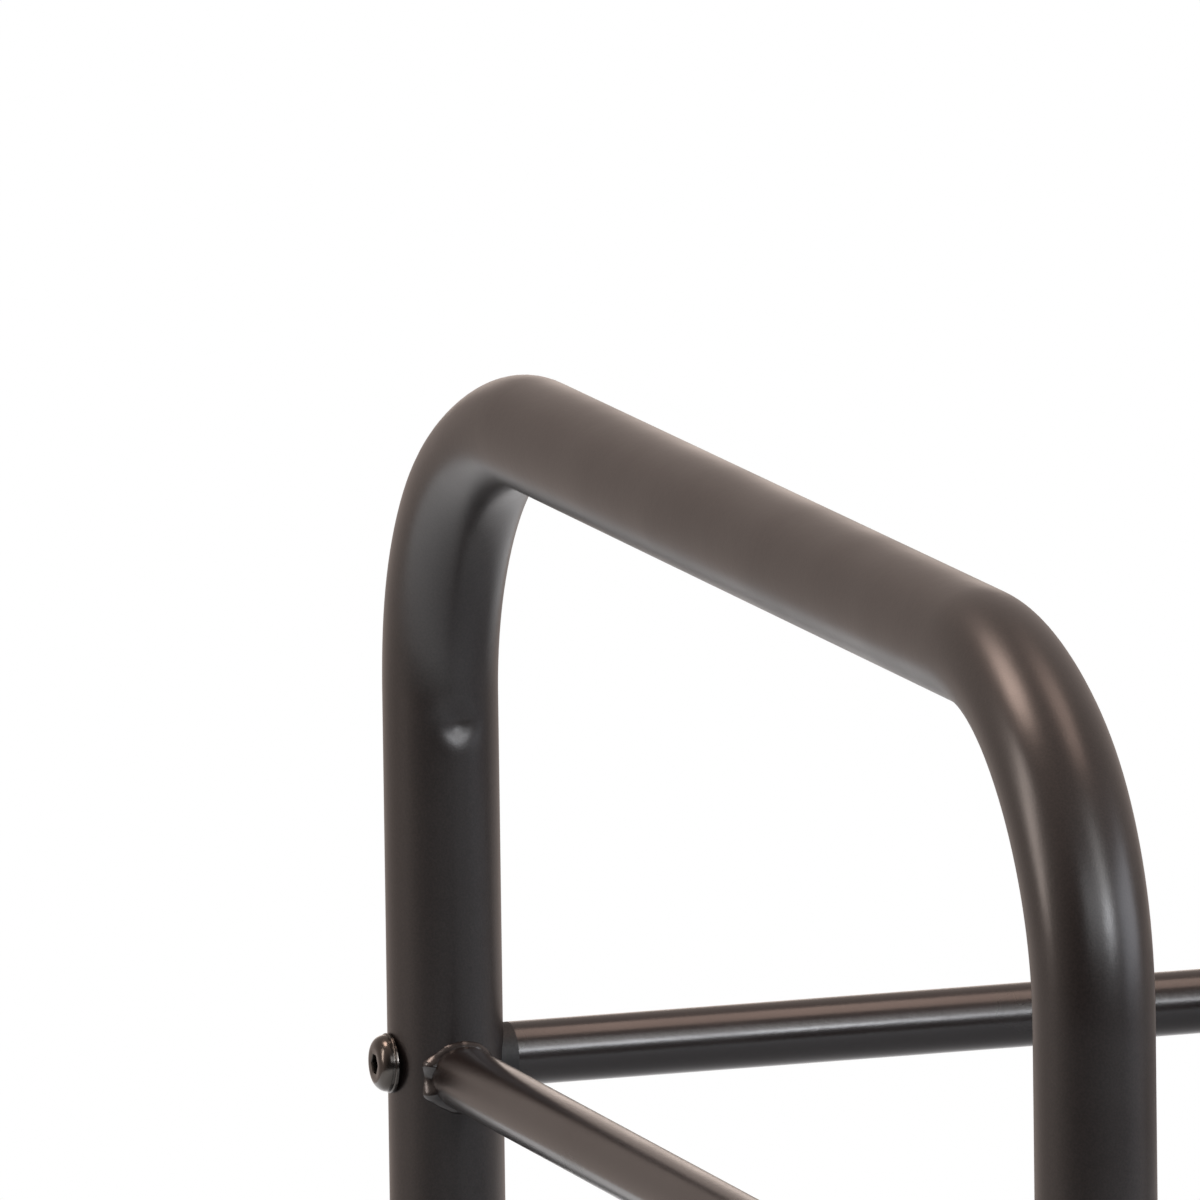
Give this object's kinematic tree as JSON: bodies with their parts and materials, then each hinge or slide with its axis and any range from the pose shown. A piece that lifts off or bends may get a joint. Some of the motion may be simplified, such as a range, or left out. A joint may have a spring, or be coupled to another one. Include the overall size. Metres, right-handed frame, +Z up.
{
  "type": "folding luggage rack",
  "caption": "Folding luggage rack of coated steel tube: end hoops and rails carry webbing straps, and the leg frames below fold inwards.",
  "frame": {"origin": "middle of the footprint, on the floor", "axes": "+X along the rails to the right-hand hoop, +Y to the rear, +Z up"},
  "size_m": [0.735, 0.449, 0.5772],
  "materials": {
    "powder_coat": "satin brown-black powder coat with a very fine grain",
    "black_steel": "glossy black zinc-nickel plating",
    "webbing": "woven polypropylene webbing",
    "rubber": "matte moulded rubber",
    "nylon": "matte moulded nylon"
  },
  "bodies": {
    "upper_frame": {"left_hoop": "powder_coat", "right_hoop": "powder_coat", "left_crossbar": "powder_coat", "right_crossbar": "powder_coat", "front_rail": "powder_coat", "rear_rail": "powder_coat", "rail_inserts": "black_steel", "saddle_washers": "nylon", "rail_bolts": "black_steel", "left_strap": "webbing", "middle_strap": "webbing", "right_strap": "webbing", "front_left_fork": "powder_coat", "rear_left_fork": "powder_coat", "front_right_fork": "powder_coat", "rear_right_fork": "powder_coat", "fork_rivets": "black_steel", "friction_washers": "nylon", "pivot_bolts": "black_steel", "pivot_nuts": "black_steel"},
    "left_legs": {"front_left_leg": "powder_coat", "rear_left_leg": "powder_coat", "left_stretcher": "powder_coat", "front_left_tongue": "powder_coat", "rear_left_tongue": "powder_coat", "left_leg_rivets": "black_steel", "front_left_foot": "rubber", "rear_left_foot": "rubber"},
    "right_legs": {"front_right_leg": "powder_coat", "rear_right_leg": "powder_coat", "right_stretcher": "powder_coat", "front_right_tongue": "powder_coat", "rear_right_tongue": "powder_coat", "right_leg_rivets": "black_steel", "front_right_foot": "rubber", "rear_right_foot": "rubber"}
  },
  "joints": [
    {"name": "left_fold", "type": "hinge", "parent": "upper_frame", "child": "left_legs", "pos_m": [-0.33, 0, 0.31423], "axis": [0, -1, 0], "range_deg": [0, 94]},
    {"name": "right_fold", "type": "hinge", "parent": "upper_frame", "child": "right_legs", "pos_m": [0.33, 0, 0.31423], "axis": [0, 1, 0], "range_deg": [0, 94]}
  ]
}
